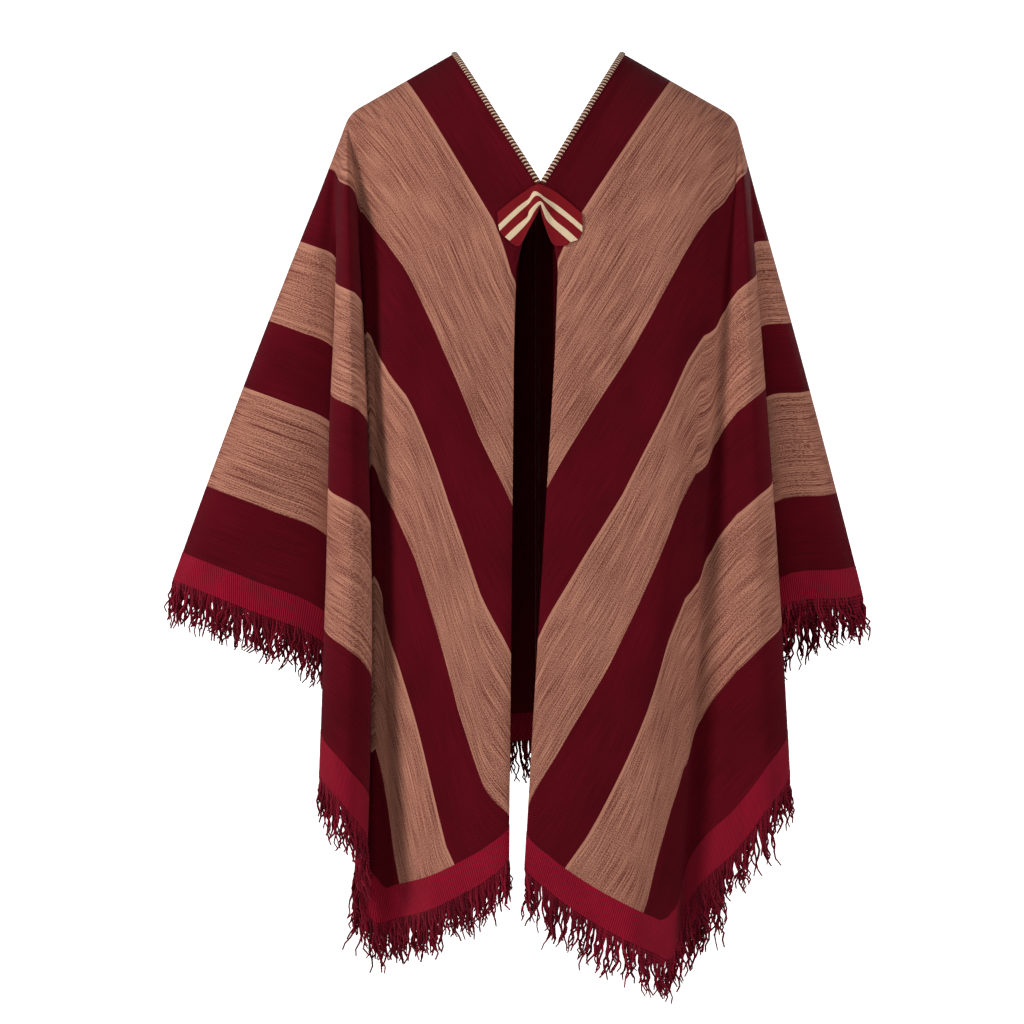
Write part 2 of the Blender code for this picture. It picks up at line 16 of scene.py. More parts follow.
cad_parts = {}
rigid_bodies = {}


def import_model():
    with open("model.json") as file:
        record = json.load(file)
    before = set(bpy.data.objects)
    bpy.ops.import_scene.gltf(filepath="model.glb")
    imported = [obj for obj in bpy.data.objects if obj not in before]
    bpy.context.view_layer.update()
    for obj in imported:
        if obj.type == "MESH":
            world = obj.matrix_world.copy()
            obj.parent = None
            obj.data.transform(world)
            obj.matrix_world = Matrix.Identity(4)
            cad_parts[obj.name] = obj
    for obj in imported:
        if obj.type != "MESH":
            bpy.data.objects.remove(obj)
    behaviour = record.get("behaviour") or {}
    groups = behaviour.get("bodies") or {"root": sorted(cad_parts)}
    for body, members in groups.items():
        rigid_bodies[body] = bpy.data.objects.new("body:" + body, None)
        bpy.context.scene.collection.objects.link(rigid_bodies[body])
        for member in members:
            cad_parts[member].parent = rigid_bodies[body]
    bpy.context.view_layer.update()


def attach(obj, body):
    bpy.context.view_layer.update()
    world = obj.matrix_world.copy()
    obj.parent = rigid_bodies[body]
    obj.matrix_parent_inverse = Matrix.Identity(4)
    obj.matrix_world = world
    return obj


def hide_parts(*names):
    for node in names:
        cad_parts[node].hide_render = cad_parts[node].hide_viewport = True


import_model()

bl_info = {
    "name": "Wool poncho",
    "version": (1, 0, 0),
    "blender": (4, 5, 0),
    "location": "3D View > Sidebar > Poncho",
    "description": "Striped wool cloth, ribbed borders, fringe and ribbon tab of a worn poncho",
    "category": "Object",
}

BODY = "root"
HALF_LENGTH = 0.790         # flat length from the shoulder line to a hem
RIDGE_RUN = 0.090           # stretch of the sleeve ridge that the folds start on
SHOULDER_ROUND = 0.012      # how far from its corner the shoulder line is rounded
NECK_SHARE = 0.192          # of a fold's length that lies beside the neck edge
CHEST_SHARE = 0.72          # of a fold's depth that the shoulder gives at once
CHEST_REACH = 0.22          # share of the length over which it does so
TUCK_EASE = 0.08            # a tuck starts softly sideways
DEPTH_EASE = 0.65           # and sooner in depth
SIDE_FROM = 0.93            # share of the width past which a fold ends on the side
SIDE_BLEND = 0.06
SEAM_LAP = -0.0001          # the two panels meet at the centre-back seam
SEAM_TOP = -0.12            # the back halves lie side by side below this height
PULLED_IN = 0.08            # a fold drawn in by this much keeps its flat place
BORDER_WIDTH = 0.031
BORDER_LAP = 0.0012         # the band starts this far over the cloth
SHARP = math.radians(60)

# How far a fold is drawn towards the middle, from the shoulder to the hem
FRONT_DRAW = ((0.0, 0.0), (NECK_SHARE, 1.0), (0.27, 0.74), (1.0, 0.0))
BACK_DRAW = ((0.0, 0.0), (NECK_SHARE, 1.0), (1.0, 0.0))

# Where each fold starts: 0 at the neck, 1 at the shoulder's corner, 2 past it
STARTS = (0.0, 0.06, 0.12, 0.30, 0.49, 0.68, 0.83, 0.93, 1.0,
          1.08, 1.15, 1.25, 1.38, 1.52, 1.68, 1.84, 2.0)
CUTS = (6, 6, 6, 5, 7, 8, 7, 6, 6, 8, 8, 8, 6, 6, 5, 4)
TOP_ROWS = 22               # closer rows where the cloth bends over the shoulder
BODY_ROWS = 78
BORDER_ROWS = 8

FIELDS = ("out", "drop", "depth", "tuck_out", "tuck_depth", "tuck_from",
          "across", "draw", "bow")

HEM_FIELDS = ("out", "drop", "depth", "tuck_out", "tuck_depth", "bow")

# Rows run from the open edge or seam to the sleeve's ridge. out, drop and depth
# place the hem of a fold, tuck_out and tuck_depth move it where cloth is tucked
# away, across is its place on the flat cloth, draw and bow are pulls sideways.
LEFT_FRONT = {
    "neck_edge":     (0.068, 0.765, 0.145, 0.000, -0.108, 0.192, 0.000, 0.0887, 0.000),
    "flap_turn":     (0.050, 0.775, 0.145, 0.118, -0.096, 0.192, 0.181, 0.0840, 0.000),
    "opening":       (0.035, 0.884, 0.145, 0.000, 0.000, 0.192, 0.403, 0.0800, 0.000),
    "front_crown":   (0.060, 0.910, 0.148, 0.000, 0.000, 0.100, 0.429, 0.0520, 0.000),
    "front_flat":    (0.081, 0.923, 0.145, 0.000, 0.000, 0.100, 0.457, 0.0300, 0.000),
    "front_bend":    (0.117, 0.941, 0.138, 0.000, -0.004, 0.100, 0.512, 0.0120, 0.000),
    "front_valley":  (0.157, 0.953, 0.118, 0.000, -0.034, 0.100, 0.598, 0.0000, 0.000),
    "corner":        (0.182, 0.957, 0.112, 0.000, -0.020, 0.100, 0.685, 0.0000, -0.008),
    "column_under":  (0.190, 0.905, 0.112, 0.013, -0.030, 0.100, 0.685, 0.0000, -0.010),
    "column_inner":  (0.190, 0.866, 0.118, 0.000, 0.000, 0.100, 0.685, 0.0000, -0.012),
    "column_crown":  (0.214, 0.829, 0.142, 0.000, 0.000, 0.100, 0.685, 0.0000, -0.006),
    "column_outer":  (0.241, 0.789, 0.110, 0.000, 0.000, 0.100, 0.685, 0.0000, 0.000),
    "pleat":         (0.241, 0.716, 0.060, -0.051, -0.046, 0.100, 0.685, 0.0000, 0.000),
    "sleeve_inner":  (0.243, 0.648, 0.040, 0.000, 0.000, 0.100, 0.685, 0.0000, 0.000),
    "sleeve_middle": (0.319, 0.616, 0.040, 0.000, 0.000, 0.100, 0.685, 0.0000, 0.000),
    "sleeve_turn":   (0.388, 0.589, 0.022, 0.000, 0.000, 0.100, 0.685, 0.0000, 0.002),
    "ridge":         (0.405, 0.582, 0.000, 0.000, 0.000, 0.100, 0.685, 0.0000, 0.003),
}
RIGHT_FRONT = {
    "neck_edge":     (0.015, 0.765, 0.145, 0.000, -0.108, 0.192, 0.000, 0.0747, 0.000),
    "flap_turn":     (0.022, 0.775, 0.145, 0.125, -0.096, 0.192, 0.186, 0.0766, 0.000),
    "opening":       (-0.016, 0.892, 0.145, 0.000, 0.000, 0.192, 0.412, 0.0681, 0.000),
    "front_crown":   (0.010, 0.922, 0.148, 0.000, 0.000, 0.100, 0.457, 0.0450, 0.000),
    "front_flat":    (0.055, 0.954, 0.146, 0.000, 0.000, 0.100, 0.514, 0.0260, 0.000),
    "front_valley":  (0.099, 0.978, 0.145, 0.000, 0.000, 0.100, 0.571, 0.0120, 0.000),
    "front_fall":    (0.124, 0.990, 0.136, 0.000, -0.012, 0.100, 0.632, 0.0000, 0.000),
    "corner":        (0.142, 0.997, 0.128, 0.000, -0.022, 0.100, 0.690, 0.0000, 0.000),
    "side_valley":   (0.158, 0.945, 0.120, 0.000, -0.028, 0.100, 0.690, 0.0000, 0.000),
    "side_rise":     (0.178, 0.914, 0.114, 0.000, -0.014, 0.100, 0.690, 0.0000, 0.000),
    "side_crown":    (0.214, 0.879, 0.120, 0.000, 0.000, 0.100, 0.690, 0.0000, 0.000),
    "column_crown":  (0.250, 0.830, 0.124, 0.000, 0.000, 0.100, 0.690, 0.0000, 0.002),
    "column_outer":  (0.273, 0.789, 0.094, 0.000, 0.000, 0.100, 0.690, 0.0000, 0.004),
    "pleat":         (0.268, 0.716, 0.060, -0.054, -0.046, 0.100, 0.690, 0.0000, 0.002),
    "sleeve_inner":  (0.267, 0.612, 0.038, 0.000, 0.000, 0.100, 0.690, 0.0000, 0.000),
    "sleeve_turn":   (0.338, 0.602, 0.024, 0.000, 0.000, 0.100, 0.690, 0.0000, 0.000),
    "ridge":         (0.356, 0.598, 0.000, 0.000, 0.000, 0.100, 0.690, 0.0000, 0.002),
}
LEFT_BACK = {
    "seam":          (0.000, 0.760, 0.135, 0.000, -0.094, 0.192, 0.000, 0.0755, 0.000),
    "pleat_turn":    (0.030, 0.775, 0.135, 0.110, -0.080, 0.192, 0.181, 0.0788, 0.000),
    "pleat_edge":    (0.036, 0.880, 0.135, 0.000, 0.000, 0.192, 0.403, 0.0760, 0.000),
    "back_crown":    (0.052, 0.905, 0.142, 0.000, 0.000, 0.100, 0.430, 0.0520, 0.000),
    "back_flat":     (0.080, 0.925, 0.138, 0.000, 0.000, 0.100, 0.462, 0.0300, 0.000),
    "back_valley":   (0.110, 0.940, 0.130, 0.000, -0.026, 0.100, 0.522, 0.0120, 0.000),
    "back_ridge":    (0.142, 0.952, 0.124, 0.000, 0.010, 0.100, 0.585, 0.0000, 0.000),
    "corner":        (0.172, 0.958, 0.110, 0.000, -0.020, 0.100, 0.685, 0.0000, 0.000),
    "column_under":  (0.186, 0.900, 0.112, 0.014, -0.030, 0.100, 0.685, 0.0000, -0.006),
    "column_inner":  (0.186, 0.862, 0.118, 0.000, 0.000, 0.100, 0.685, 0.0000, -0.008),
    "column_crown":  (0.212, 0.825, 0.140, 0.000, 0.000, 0.100, 0.685, 0.0000, -0.004),
    "column_outer":  (0.240, 0.785, 0.110, 0.000, 0.000, 0.100, 0.685, 0.0000, 0.000),
    "pleat":         (0.242, 0.712, 0.060, -0.050, -0.046, 0.100, 0.685, 0.0000, 0.000),
    "sleeve_inner":  (0.247, 0.648, 0.040, 0.000, 0.000, 0.100, 0.685, 0.0000, 0.000),
    "sleeve_middle": (0.321, 0.616, 0.040, 0.000, 0.000, 0.100, 0.685, 0.0000, 0.000),
    "sleeve_turn":   (0.388, 0.589, 0.022, 0.000, 0.000, 0.100, 0.685, 0.0000, 0.002),
    "ridge":         (0.405, 0.582, 0.000, 0.000, 0.000, 0.100, 0.685, 0.0000, 0.003),
}
RIGHT_BACK = {
    "seam":          (0.000, 0.760, 0.135, 0.000, -0.094, 0.192, 0.000, 0.0729, 0.000),
    "pleat_turn":    (0.030, 0.775, 0.135, 0.106, -0.080, 0.192, 0.181, 0.0765, 0.000),
    "pleat_edge":    (0.030, 0.884, 0.135, 0.000, 0.000, 0.192, 0.403, 0.0741, 0.000),
    "back_crown":    (0.058, 0.908, 0.144, 0.000, 0.000, 0.100, 0.432, 0.0500, 0.000),
    "back_flat":     (0.088, 0.928, 0.136, 0.000, 0.000, 0.100, 0.466, 0.0280, 0.000),
    "back_valley":   (0.118, 0.944, 0.128, 0.000, -0.024, 0.100, 0.526, 0.0120, 0.000),
    "back_ridge":    (0.146, 0.958, 0.126, 0.000, 0.008, 0.100, 0.590, 0.0000, 0.000),
    "corner":        (0.172, 0.964, 0.110, 0.000, -0.020, 0.100, 0.690, 0.0000, 0.000),
    "column_under":  (0.190, 0.908, 0.114, 0.012, -0.030, 0.100, 0.690, 0.0000, 0.000),
    "column_inner":  (0.190, 0.868, 0.120, 0.000, 0.000, 0.100, 0.690, 0.0000, -0.004),
    "column_crown":  (0.216, 0.832, 0.142, 0.000, 0.000, 0.100, 0.690, 0.0000, 0.000),
    "column_outer":  (0.246, 0.790, 0.112, 0.000, 0.000, 0.100, 0.690, 0.0000, 0.002),
    "pleat":         (0.250, 0.720, 0.060, -0.050, -0.046, 0.100, 0.690, 0.0000, 0.000),
    "sleeve_inner":  (0.256, 0.650, 0.040, 0.000, 0.000, 0.100, 0.690, 0.0000, 0.000),
    "sleeve_middle": (0.302, 0.624, 0.038, 0.000, 0.000, 0.100, 0.690, 0.0000, 0.000),
    "sleeve_turn":   (0.342, 0.604, 0.022, 0.000, 0.000, 0.100, 0.690, 0.0000, 0.000),
    "ridge":         (0.356, 0.598, 0.000, 0.000, 0.000, 0.100, 0.690, 0.0000, 0.002),
}

# How far the weave has slid across the front folds, as (place, metres)
LEFT_SLIDE = ((0, 0.002), (2, 0.006), (3, 0.017), (4, 0.032), (5, 0.053), (5.5, 0.052),
              (6, 0.042), (6.8, 0.018), (7.2, 0.002), (8, 0.006), (9.6, 0.014), (12, 0.0))
RIGHT_SLIDE = ((0, 0.004), (2, 0.008), (4, 0.014), (5, 0.027), (5.6, 0.034), (6.3, 0.029),
               (7, 0.012), (8.5, 0.008), (10, 0.016), (12, 0.004), (13, 0.0))
SLIDE_END = 0.80            # along the cloth, where it has come to nothing
SLIDE_LATE = 1.3            # it grows late and falls off soon

HALVES = {
    "left": {"side": -1, "neck": (0.0935, 0.0), "corner": (0.2095, -0.0668),
             "front": LEFT_FRONT, "back": LEFT_BACK, "slide": LEFT_SLIDE},
    "right": {"side": 1, "neck": (0.0902, 0.0), "corner": (0.2156, -0.0715),
              "front": RIGHT_FRONT, "back": RIGHT_BACK, "slide": RIGHT_SLIDE},
}

# Edges of the stripes on the flat cloth, from the neck: maroon, tan, maroon ...
STRIPES = (0.062, 0.198, 0.285, 0.378, 0.457, 0.572)
PALE_LINE = 0.0009          # pale yarns along the edges of the tan stripes

# Rows across the ribbon, from its upper edge: the share of its width, how far it
# stands forward, and nine points (x, z) from its left end to its right end
RIBBON = (
    (0.00, 0.0000, ((-0.0468, -0.1785), (-0.0290, -0.1640), (-0.0160, -0.1552), (-0.0095, -0.1508),
                    (-0.0020, -0.1482), (0.0060, -0.1505), (0.0182, -0.1569), (0.0333, -0.1687),
                    (0.0466, -0.1808))),
    (0.14, 0.0010, ((-0.0463, -0.1855), (-0.0307, -0.1720), (-0.0183, -0.1623), (-0.0108, -0.1570),
                    (-0.0038, -0.1518), (0.0057, -0.1565), (0.0182, -0.1636), (0.0333, -0.1755),
                    (0.0464, -0.1872))),
    (0.29, 0.0030, ((-0.0458, -0.1923), (-0.0323, -0.1797), (-0.0205, -0.1695), (-0.0121, -0.1637),
                    (-0.0058, -0.1557), (0.0055, -0.1628), (0.0182, -0.1704), (0.0333, -0.1822),
                    (0.0463, -0.1935))),
    (0.45, 0.0045, ((-0.0445, -0.1990), (-0.0323, -0.1872), (-0.0205, -0.1763), (-0.0125, -0.1695),
                    (-0.0040, -0.1606), (0.0055, -0.1670), (0.0182, -0.1771), (0.0333, -0.1889),
                    (0.0463, -0.2003))),
    (0.66, 0.0055, ((-0.0386, -0.2057), (-0.0270, -0.1945), (-0.0145, -0.1835), (-0.0109, -0.1763),
                    (0.0000, -0.1668), (0.0068, -0.1760), (0.0165, -0.1875), (0.0308, -0.1990),
                    (0.0415, -0.2088))),
    (0.82, 0.0045, ((-0.0332, -0.2100), (-0.0239, -0.2006), (-0.0121, -0.1881), (-0.0060, -0.1775),
                    (0.0004, -0.1700), (0.0030, -0.1770), (0.0075, -0.1880), (0.0210, -0.2000),
                    (0.0333, -0.2115))),
    (1.00, 0.0000, ((-0.0312, -0.2125), (-0.0225, -0.2150), (-0.0118, -0.1960), (-0.0048, -0.1830),
                    (0.0002, -0.1728), (0.0024, -0.1830), (0.0058, -0.1950), (0.0150, -0.2140),
                    (0.0300, -0.2150))),
)
CREAM = ((0.29, 0.45), (0.66, 0.82))    # its cream stripes, as shares of its width
RIBBON_CUTS = 6             # columns from one of the nine points to the next
RIBBON_ROWS = 25
RIBBON_GAP = 0.0006         # between the ribbon and the cloth under it
RIBBON_SINK = 0.004         # how far it follows the cloth back
RIBBON_SOFTEN = 6           # times that its depth is evened out
GATHER_WIDTH = 1.1          # of its raised middle, in points

# Each yarn of the fringe
YARN_STEPS = 8
YARN_SIDES = 4
CLUMP = 5                   # yarns that lean together
YARN_TUCK = 0.001           # its root lies this far inside the band

# Each stitch is half a loop round the neck edge
STITCHES_END = -0.1475      # height at which they stop
STITCH_STEPS = 8
STITCH_SIDES = 6
STITCH_OUTSIDE = 0.0012     # how far a loop stands out from the edge
STITCH_SLANT = 0.0016
SEAM_START = -0.142

# Soft creases on the fronts, from (x, z) to (x, z): half width and depth
CREASES = (
    ((0.062, -0.300), (0.112, -0.445), 0.016, 0.0040),
    ((0.165, -0.400), (0.128, -0.640), 0.018, 0.0050),
    ((0.126, -0.660), (0.146, -0.900), 0.016, 0.0045),
    ((0.190, -0.610), (0.176, -0.745), 0.010, 0.0045),
    ((0.206, -0.760), (0.196, -0.830), 0.009, 0.0040),
    ((0.035, -0.560), (0.075, -0.780), 0.020, 0.0030),
    ((-0.163, -0.215), (-0.154, -0.520), 0.020, 0.0100),
    ((-0.160, -0.520), (-0.148, -0.900), 0.022, 0.0120),
    ((-0.100, -0.330), (-0.070, -0.560), 0.020, 0.0030),
    ((-0.225, -0.330), (-0.222, -0.560), 0.012, 0.0025),
    ((-0.300, -0.420), (-0.345, -0.545), 0.018, 0.0030),
    ((0.285, -0.420), (0.315, -0.560), 0.014, 0.0030),
)
CREASE_ENDS = 0.25          # share of its depth that a crease keeps at its ends
CREASE_HEM = 0.35           # and that is left at the hem

FLOOR_HEIGHT = -1.30
# The lamps: name, place, size, watts and what they point at
MIDDLE = (0, 0, -0.5)
LAMPS = (
    ("key", (-2.9, -1.75, 1.1), 0.9, 118, MIDDLE),
    ("side", (2.9, -1.5, 0.9), 1.0, 56, MIDDLE),
    ("fill", (-0.8, -3.6, 0.4), 1.6, 13, MIDDLE),
    ("rear", (1.4, 3.2, 0.8), 1.6, 46, MIDDLE),
    ("wall_left", (-3.4, 14.4, -0.5), 2.0, 250, (0.9, 18, -1.0)),
    ("wall_right", (3.4, 14.4, -0.5), 2.0, 250, (-0.9, 18, -1.0)),
)
SKY = 0.13                  # strength of the even light from all sides
EYE = (-0.0308, -12.0, -0.5071)
FRONT_PLANE = -0.07         # depth at which the picture has its stated width
PICTURE_WIDTH = 1.1264
SENSOR = 36.0


def set_colour(name, text, default):
    """A colour property."""
    return bpy.props.FloatVectorProperty(name=name, description=text, default=default,
                                         subtype="COLOR", min=0.0, max=1.0)


def set_size(name, text, default):
    """A length property in metres."""
    return bpy.props.FloatProperty(name=name, description=text, default=default,
                                   unit="LENGTH", min=0.0)


class PonchoCloth(bpy.types.PropertyGroup):
    """Colours and weave of the two panels"""
    maroon: set_colour("Maroon", "Colour of the plain stripes", (0.084, 0.0020, 0.0062))
    tan_light: set_colour("Pale tan", "Lightest yarn of the heathered stripes", (0.46, 0.208, 0.138))
    tan_dark: set_colour("Dark tan", "Darkest yarn of the heathered stripes", (0.125, 0.029, 0.023))
    thickness: set_size("Thickness", "Thickness of the woven wool", 0.0020)
    twill: set_size("Twill pitch", "Distance between two twill lines", 0.0024)


class PonchoBorder(bpy.types.PropertyGroup):
    """The ribbed band along the hems and sides"""
    colour: set_colour("Colour", "Colour of the ribbed band", (0.240, 0.0055, 0.0200))
    thickness: set_size("Thickness", "Thickness of the band", 0.0026)
    rib: set_size("Rib pitch", "Distance between two ribs", 0.0024)


class PonchoFringe(bpy.types.PropertyGroup):
    """The twisted yarn ends"""
    colour: set_colour("Colour", "Colour of the twisted yarn", (0.150, 0.0050, 0.0150))
    length: set_size("Length", "Mean length of a strand", 0.047)
    radius: set_size("Radius", "Radius of a strand", 0.0015)
    spacing: set_size("Spacing", "Distance between two strands", 0.0021)


class PonchoRibbon(bpy.types.PropertyGroup):
    """The striped ribbon under the neck"""
    red: set_colour("Red", "Ground colour of the ribbon", (0.175, 0.0036, 0.0078))
    cream: set_colour("Cream", "Colour of its stripes and of the neck stitches",
                      (0.66, 0.51, 0.33))
    thickness: set_size("Thickness", "Thickness of the ribbon", 0.0012)


class PonchoStitches(bpy.types.PropertyGroup):
    """The sewing on the neck edges and the back seam"""
    pitch: set_size("Pitch", "Distance between two stitches on the neck edge", 0.0043)
    reach: set_size("Reach", "How far a stitch lies on the cloth", 0.0052)
    radius: set_size("Radius", "Radius of the sewing yarn", 0.00105)
    seam: set_size("Seam", "Radius of the rolled centre-back seam", 0.0026)


class PonchoStage(bpy.types.PropertyGroup):
    """What the poncho is shown in front of"""
    floor: set_colour("Floor", "Colour of the floor and the backdrop", (0.93, 0.93, 0.93))


SETTINGS = {"poncho_cloth": PonchoCloth, "poncho_border": PonchoBorder,
            "poncho_fringe": PonchoFringe, "poncho_ribbon": PonchoRibbon,
            "poncho_stitches": PonchoStitches, "poncho_stage": PonchoStage}


def smooth_row(table, gaps, place):
    """A row of the table at a fractional place, on a centripetal curve.

    Only what places the hem is curved. The rest runs straight between rows.
    """
    last = len(table) - 1
    index = min(int(place), last - 1)
    part = place - index
    start, end = table[index], table[index + 1]
    gap = gaps[index]
    leave = arrive = end - start
    if index > 0:
        back = gaps[index - 1]
        before = table[index - 1]
        leave = ((start - before) / back - (end - before) / (back + gap)
                 + (end - start) / gap) * gap
    if index + 1 < last:
        ahead = gaps[index + 1]
        after = table[index + 2]
        arrive = ((end - start) / gap - (after - start) / (gap + ahead)
                  + (after - end) / ahead) * gap
    square, cube = part ** 2, part ** 3
    curved = ((2 * cube - 3 * square + 1) * start + (cube - 2 * square + part) * leave
              + (3 * square - 2 * cube) * end + (cube - square) * arrive)
    straight = start + (end - start) * part
    is_hem = np.array([name in HEM_FIELDS for name in FIELDS])
    return np.where(is_hem, curved, straight)


def read_fold(half, face, place):
    """All the fields of one fold at a fractional place, by name."""
    table = np.array(list(half[face].values()))
    fold = dict(zip(FIELDS, table.T))
    hem = np.stack((fold["out"] + fold["tuck_out"], fold["drop"],
                    fold["depth"] + fold["tuck_depth"]), axis=1)
    gaps = np.sqrt(np.linalg.norm(np.diff(hem, axis=0), axis=1))
    return dict(zip(FIELDS, smooth_row(table, gaps, place)))


def shoulder_run(half):
    """Length of the shoulder line from the neck to its corner."""
    return np.linalg.norm(np.array(half["corner"]) - half["neck"])


def shoulder_point(half, start):
    """The place (out, height) on the shoulder line, or past it on the ridge."""
    neck = np.array(half["neck"])
    corner = np.array(half["corner"])
    ridge = half["front"]["ridge"]
    hem = np.array((ridge[0], -ridge[1]))
    run = shoulder_run(half)
    inward = (corner - neck) / run
    onward = (hem - corner) / np.linalg.norm(hem - corner)
    distance = (start - 1) * run if start < 1 else (start - 1) * RIDGE_RUN
    if abs(distance) >= SHOULDER_ROUND:
        return corner + (inward if distance < 0 else onward) * distance
    part = (distance + SHOULDER_ROUND) / (2 * SHOULDER_ROUND)
    first = corner - inward * SHOULDER_ROUND
    last = corner + onward * SHOULDER_ROUND
    return (1 - part) ** 2 * first + 2 * part * (1 - part) * corner + part ** 2 * last


def fold_line(half, face, place, shares):
    """Points of one line of the sheet and their places (u, v) on the flat cloth."""
    fold = read_fold(half, face, place)
    start = np.interp(place, range(len(STARTS)), STARTS)
    top_out, top_height = shoulder_point(half, start)
    draw_line = FRONT_DRAW if face == "front" else BACK_DRAW
    rise = np.sqrt(1 - (1 - np.minimum(shares / CHEST_REACH, 1)) ** 2)
    form = CHEST_SHARE * rise + (1 - CHEST_SHARE) * shares
    late = np.maximum(0.0, (shares - fold["tuck_from"]) / (1 - fold["tuck_from"]))
    tuck = late ** 2 / (late + TUCK_EASE) * (1 + TUCK_EASE)
    pull = np.interp(shares, [p[0] for p in draw_line], [p[1] for p in draw_line])
    out = top_out + (fold["out"] - top_out) * shares - fold["draw"] * pull
    out += fold["tuck_out"] * tuck + fold["bow"] * 4 * shares * (1 - shares)
    depth = fold["depth"] * form + fold["tuck_depth"] * late ** DEPTH_EASE
    height = top_height - (fold["drop"] + top_height) * shares
    if place < 1:
        out = np.where(shares >= NECK_SHARE, np.maximum(out, SEAM_LAP), out)
    if face == "back" and place == 0:
        out = np.where(shares >= NECK_SHARE, SEAM_LAP, out)
    facing = -1 if face == "front" else 1
    points = np.stack((half["side"] * out, facing * depth, height), axis=1)
    flat = flat_places(half, fold, start, points, shares)
    if face == "front":
        slide = np.interp(place, *zip(*half["slide"]))
        late = np.clip(flat[:, 1] / SLIDE_END, 0, 1) ** SLIDE_LATE
        flat[:, 0] += slide * np.sin(math.pi * late)
    return points, flat


def run_length(line):
    """Distance from the start of a line to each of its points."""
    steps = np.linalg.norm(np.diff(line, axis=0), axis=1)
    return np.concatenate(((0.0,), np.cumsum(steps)))


def read_line(at, distance, field):
    """Vectors along a line, read at one distance."""
    return np.array([np.interp(at, distance, field[:, i]) for i in range(3)])


def flat_places(half, fold, start, points, shares):
    """Distances across the stripes and along them, from the neck and shoulder."""
    run = shoulder_run(half)
    top = start * run if start < 1 else run + (start - 1) * RIDGE_RUN
    held = np.clip((shares - NECK_SHARE) / (1 - NECK_SHARE), 0, 1)
    weight = min(1.0, fold["draw"] / PULLED_IN)
    part = held * weight + shares * (1 - weight)
    across = top + (fold["across"] - top) * part
    along = np.sqrt(np.maximum(0.0, run_length(points) ** 2 - (across - top) ** 2))
    return np.stack((across, along), axis=1)


def border_share(half, face, place):
    """Share of a fold's length at which the border starts."""
    across = read_fold(half, face, place)["across"]
    width = half["front"]["ridge"][FIELDS.index("across")]
    start = np.interp(place, range(len(STARTS)), STARTS)
    run = shoulder_run(half)
    top = start * run if start < 1 else run + (start - 1) * RIDGE_RUN
    on_side = np.clip((across / width - SIDE_FROM) / SIDE_BLEND, 0, 1)
    length = HALF_LENGTH + on_side * (width - top - HALF_LENGTH)
    return 1 - BORDER_WIDTH / length


def curve(values, stations):
    """A smooth curve through evenly placed values, read at some stations."""
    slopes = np.gradient(values)
    index = np.minimum(stations.astype(int), len(values) - 2)
    part = stations - index
    square, cube = part ** 2, part ** 3
    return ((2 * cube - 3 * square + 1) * values[index]
            + (cube - 2 * square + part) * slopes[index]
            + (3 * square - 2 * cube) * values[index + 1]
            + (cube - square) * slopes[index + 1])


def unit(vectors):
    """Vectors scaled to a length of one."""
    return vectors / np.maximum(np.linalg.norm(vectors, axis=-1), 1e-12)[..., None]


class Sheet:
    """One panel's middle surface as a grid, from the front edge to the back seam.

    The grid's columns run from the front opening over the sleeve's ridge to the
    centre-back seam, and its rows from the shoulder line down to the hem.
    """

    def __init__(self, half):
        self.half = half
        places = [index + step / cuts for index, cuts in enumerate(CUTS) for step in range(cuts)]
        places.append(float(len(CUTS)))
        self.order = [("front", p) for p in places] + [("back", p) for p in places[-2::-1]]
        lines = [self.line(face, place) for face, place in self.order]
        self.points = np.array([line[0] for line in lines])
        self.flat = np.array([line[1] for line in lines])
        self.normals = self.find_normals()
        self.press_creases()
        self.normals = self.find_normals()

    def press_creases(self):
        """Press the soft creases into the cloth, and like ones into the back."""
        plan = self.points[..., (0, 2)]
        steps = np.zeros(plan.shape[:2])
        for start, end, width, depth in CREASES:
            start, run = np.array(start), np.array(end) - np.array(start)
            part = np.clip((plan - start) @ run / (run @ run), 0, 1)
            away = np.linalg.norm(plan - start - part[..., None] * run, axis=-1)
            steps += depth * np.exp(-(away / width) ** 2) * (
                CREASE_ENDS + np.sin(math.pi * part))
        hem = np.linspace(1.0, CREASE_HEM, steps.shape[1])
        self.points -= self.normals * (steps * hem)[..., None]

    def line(self, face, place):
        """One column of the grid, with rows that follow the neck and the border."""
        edge = border_share(self.half, face, place)
        top = CHEST_REACH * np.linspace(0, 1, TOP_ROWS) ** 2
        body = np.linspace(CHEST_REACH, edge, BODY_ROWS)[1:]
        band = np.linspace(edge, 1.0, BORDER_ROWS)[1:]
        shares = np.concatenate((top, body, band))
        nearest = np.argmin(abs(shares - NECK_SHARE))
        shares[nearest] = NECK_SHARE
        return fold_line(self.half, face, place, shares)

    def find_normals(self):
        """Outward normals of the grid, level across the centre-back seam."""
        down = unit(np.gradient(self.points, axis=1))
        round_it = unit(np.diff(self.points, axis=0))
        before = np.concatenate((round_it[:1], round_it))
        after = np.concatenate((round_it, round_it[-1:]))
        normals = unit(np.cross(down, before)) + unit(np.cross(down, after))
        normals[:, 0] = normals[:, 1]
        seam = self.points[-1, :, 2] < SEAM_TOP
        normals[-1, seam, 0] = 0.0
        return unit(normals) * -self.half["side"]

    @property
    def cloth_rows(self):
        """Rows of the grid down to the border."""
        return TOP_ROWS + BODY_ROWS - 1


